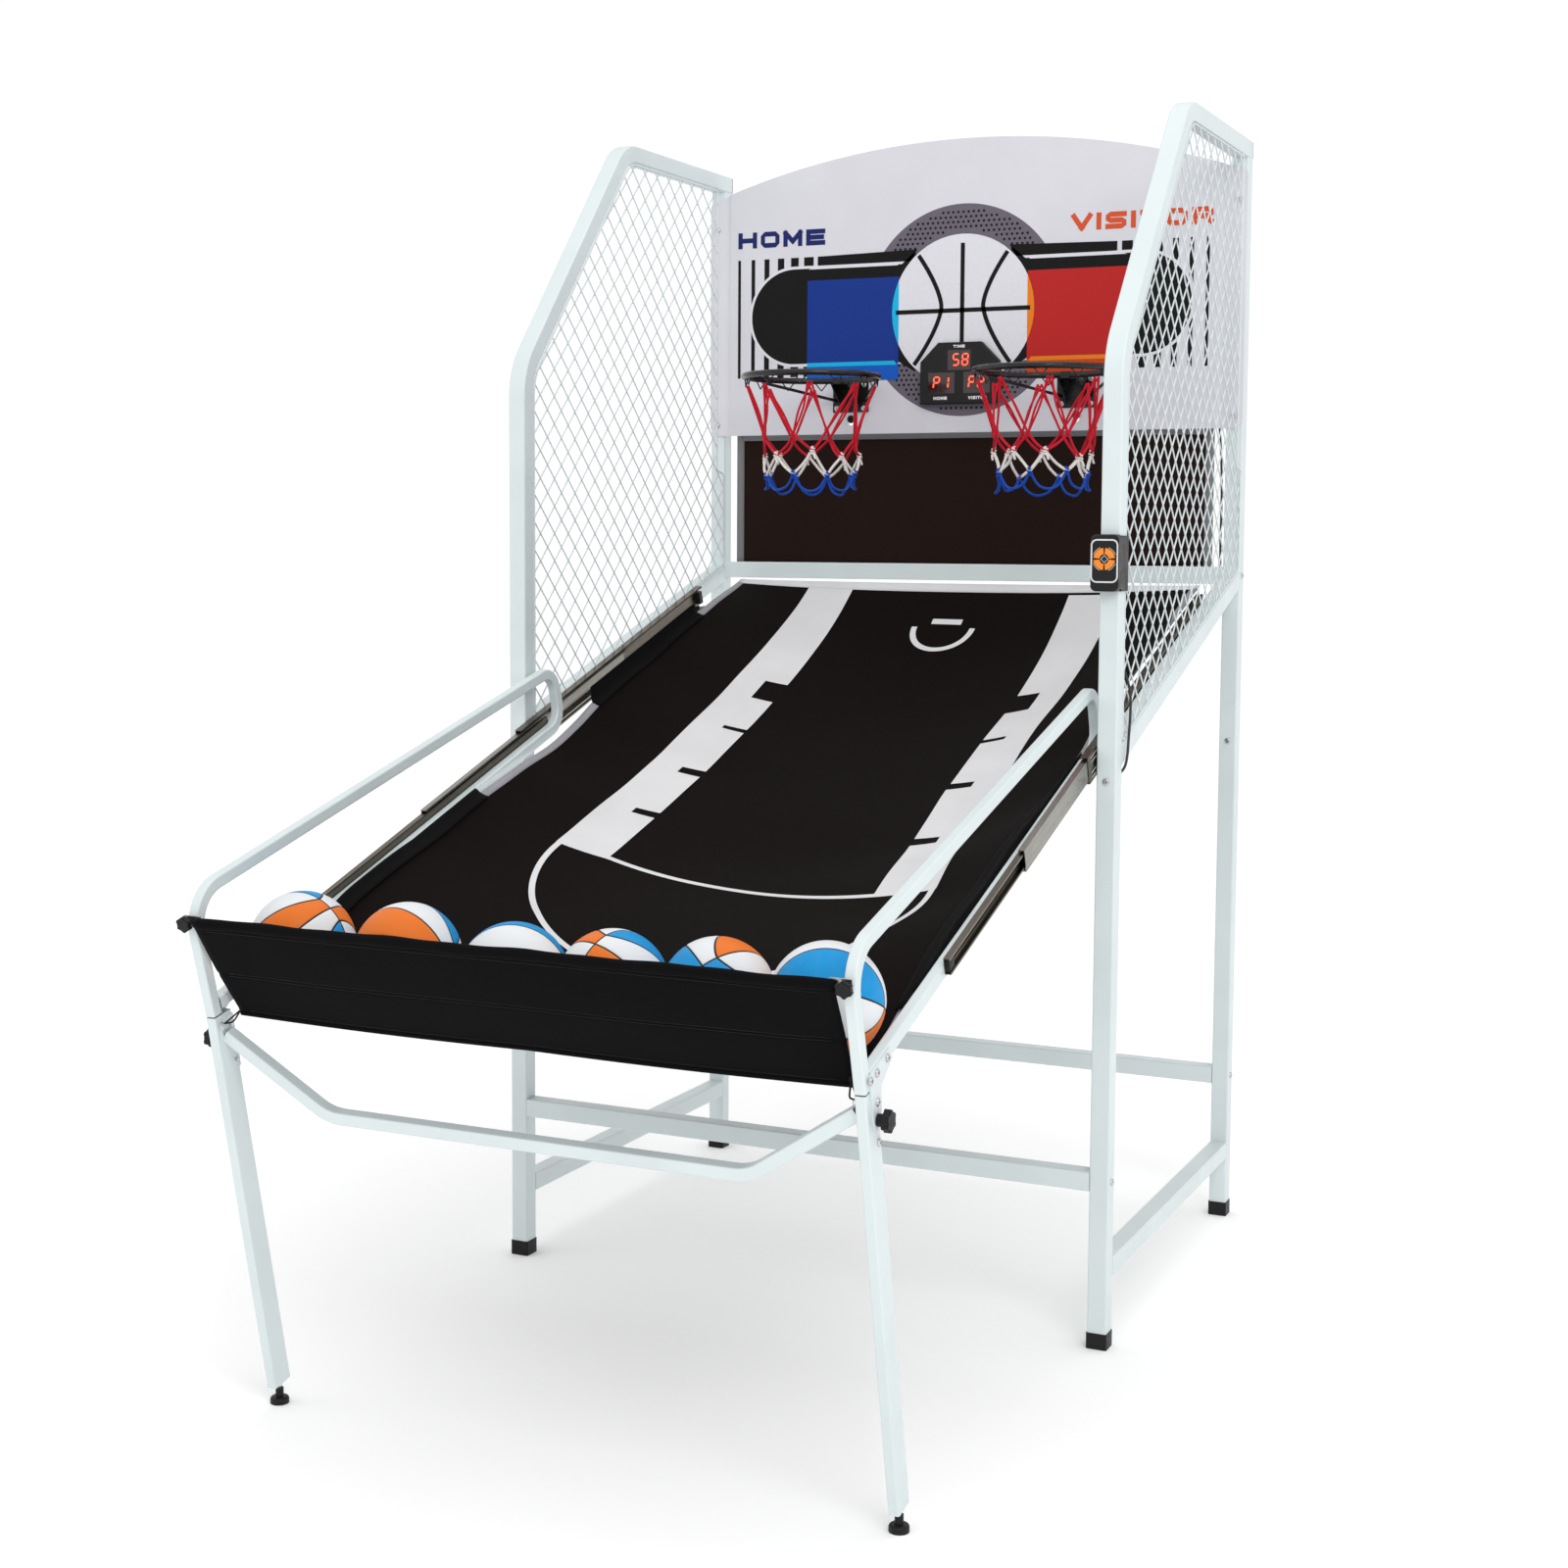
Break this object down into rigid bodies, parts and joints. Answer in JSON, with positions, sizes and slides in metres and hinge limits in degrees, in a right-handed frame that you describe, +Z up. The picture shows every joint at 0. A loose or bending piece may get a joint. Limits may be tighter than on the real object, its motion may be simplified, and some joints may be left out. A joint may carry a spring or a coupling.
{
  "type": "basketball hoop machine",
  "caption": "Fold-up basketball shooting machine with two hoops on an arched board, wire side cages, a sloping cloth ramp and balls in its trough.",
  "frame": {"origin": "on the floor under the middle of the machine", "axes": "+X to the right as a player sees it, +Y from the players towards the backboard, +Z up"},
  "size_m": [1.1156, 1.7861, 2.063],
  "materials": {
    "frame_paint": "pale mint-white powder coat, satin",
    "mesh_wire": "thin welded wire, white powder coat",
    "black_plastic": "moulded black plastic, fine grain",
    "board_laminate": "printed white laminate, satin",
    "score_housing": "dark moulded plastic with a pale printed rim",
    "score_window": "dark red display window",
    "hoop_paint": "black gloss paint",
    "net_cord": "knotted polyester cord, dyed in three bands",
    "net_cloth": "fine black netting cloth",
    "playfield_cloth": "black woven polyester with a printed court",
    "slide_steel": "dark plated roll-formed steel",
    "slide_zinc": "bright zinc plated roll-formed steel",
    "rod_steel": "zinc plated steel rod",
    "elastic": "black elastic cord",
    "ball_rubber": "pebbled rubber in white, blue and orange panels",
    "keypad_grey": "dark grey moulded plastic",
    "cable_rubber": "black cable jacket",
    "button_orange": "orange moulded button",
    "bolt_chrome": "bright plated cross-head bolt"
  },
  "bodies": {
    "cage": {"base_post_front_left": "frame_paint", "base_post_front_right": "frame_paint", "base_post_rear_left": "frame_paint", "base_post_rear_right": "frame_paint", "base_rails": "frame_paint", "cage_front_tube_left": "frame_paint", "cage_front_tube_right": "frame_paint", "cage_mesh_left": "mesh_wire", "cage_mesh_right": "mesh_wire", "cage_ramp_tube_left": "frame_paint", "cage_ramp_tube_right": "frame_paint", "cage_rear_upright_left": "frame_paint", "cage_rear_upright_right": "frame_paint", "hoop_left": "hoop_paint", "hoop_net_left": "net_cord", "hoop_net_right": "net_cord", "hoop_right": "hoop_paint", "slide_outer_left": "slide_steel", "slide_outer_right": "slide_steel", "post_caps": "black_plastic", "tube_end_plugs": "black_plastic", "ramp_cross_tube": "frame_paint", "backboard": "board_laminate", "scoreboard_housing": "score_housing", "score_windows": "score_window", "rear_net": "net_cloth", "slide_bumpers": "black_plastic", "keypad_housing": "keypad_grey", "keypad_cable": "cable_rubber", "frame_bolts": "bolt_chrome"},
    "slide_middle": {"slide_middles": "slide_zinc"},
    "front_frame": {"slide_inners": "slide_steel", "guard_loop_left": "frame_paint", "guard_loop_right": "frame_paint", "front_plates": "frame_paint", "plate_bolts": "bolt_chrome", "net_rod": "rod_steel", "front_net": "net_cloth", "net_ties": "elastic", "playfield_cloth": "playfield_cloth"},
    "front_legs": {"leg_left": "frame_paint", "leg_right": "frame_paint", "leg_brace": "frame_paint", "leg_bolts": "bolt_chrome"},
    "net_knob_left": {"net_knob_left": "black_plastic"},
    "leg_knob_left": {"leg_knob_left": "black_plastic"},
    "leg_foot_left": {"leg_foot_left": "black_plastic"},
    "net_knob_right": {"net_knob_right": "black_plastic"},
    "leg_knob_right": {"leg_knob_right": "black_plastic"},
    "leg_foot_right": {"leg_foot_right": "black_plastic"},
    "button_up": {"keypad_button_up": "button_orange"},
    "button_right": {"keypad_button_right": "button_orange"},
    "button_down": {"keypad_button_down": "button_orange"},
    "button_left": {"keypad_button_left": "button_orange"},
    "ball_1": {"ball_1": "ball_rubber"},
    "ball_2": {"ball_2": "ball_rubber"},
    "ball_3": {"ball_3": "ball_rubber"},
    "ball_4": {"ball_4": "ball_rubber"},
    "ball_5": {"ball_5": "ball_rubber"},
    "ball_6": {"ball_6": "ball_rubber"}
  },
  "joints": [
    {"name": "front_frame_slide", "type": "slide", "parent": "cage", "child": "front_frame", "axis": [0, 0.9455, 0.3256], "range_m": [0, 0.61], "deforming": ["playfield_cloth"]},
    {"name": "slide_middle_slide", "type": "slide", "parent": "cage", "child": "slide_middle", "axis": [0, 0.9455, 0.3256], "range_m": [0, 0.305]},
    {"name": "leg_fold", "type": "hinge", "parent": "front_frame", "child": "front_legs", "pos_m": [0, -0.7976, 0.59717], "axis": [1, 0, 0], "range_deg": [0, 80], "deforming": ["net_ties"]},
    {"name": "net_knob_left_turn", "type": "hinge", "parent": "front_frame", "child": "net_knob_left", "pos_m": [-0.497, -0.87185, 0.75465], "axis": [0, -0.9636, -0.2672], "continuous": true},
    {"name": "leg_knob_left_turn", "type": "hinge", "parent": "front_frame", "child": "leg_knob_left", "pos_m": [-0.5075, -0.79564, 0.57406], "axis": [-1, 0, 0], "continuous": true},
    {"name": "leg_foot_left_turn", "type": "hinge", "parent": "front_legs", "child": "leg_foot_left", "pos_m": [-0.497, -0.68344, 0], "axis": [0, 0, 1], "continuous": true},
    {"name": "net_knob_right_turn", "type": "hinge", "parent": "front_frame", "child": "net_knob_right", "pos_m": [0.497, -0.87185, 0.75465], "axis": [0, -0.9636, -0.2672], "continuous": true},
    {"name": "leg_knob_right_turn", "type": "hinge", "parent": "front_frame", "child": "leg_knob_right", "pos_m": [0.5075, -0.79564, 0.57406], "axis": [1, 0, 0], "continuous": true},
    {"name": "leg_foot_right_turn", "type": "hinge", "parent": "front_legs", "child": "leg_foot_right", "pos_m": [0.497, -0.68344, 0], "axis": [0, 0, 1], "continuous": true},
    {"name": "button_up_press", "type": "slide", "parent": "cage", "child": "button_up", "axis": [0, 1, 0], "range_m": [0, 0.0015], "stiffness_N_per_m": 400},
    {"name": "button_right_press", "type": "slide", "parent": "cage", "child": "button_right", "axis": [0, 1, 0], "range_m": [0, 0.0015], "stiffness_N_per_m": 400},
    {"name": "button_down_press", "type": "slide", "parent": "cage", "child": "button_down", "axis": [0, 1, 0], "range_m": [0, 0.0015], "stiffness_N_per_m": 400},
    {"name": "button_left_press", "type": "slide", "parent": "cage", "child": "button_left", "axis": [0, 1, 0], "range_m": [0, 0.0015], "stiffness_N_per_m": 400},
    {"name": "ball_1_lift", "type": "slide", "parent": "front_frame", "child": "ball_1", "axis": [0, 0, 1], "range_m": [0, 0.25]},
    {"name": "ball_2_lift", "type": "slide", "parent": "front_frame", "child": "ball_2", "axis": [0, 0, 1], "range_m": [0, 0.25]},
    {"name": "ball_3_lift", "type": "slide", "parent": "front_frame", "child": "ball_3", "axis": [0, 0, 1], "range_m": [0, 0.25]},
    {"name": "ball_4_lift", "type": "slide", "parent": "front_frame", "child": "ball_4", "axis": [0, 0, 1], "range_m": [0, 0.25]},
    {"name": "ball_5_lift", "type": "slide", "parent": "front_frame", "child": "ball_5", "axis": [0, 0, 1], "range_m": [0, 0.25]},
    {"name": "ball_6_lift", "type": "slide", "parent": "front_frame", "child": "ball_6", "axis": [0, 0, 1], "range_m": [0, 0.25]}
  ],
  "couplings": [
    {"joint": "slide_middle_slide", "follows": "front_frame_slide", "ratio": 0.5}
  ]
}
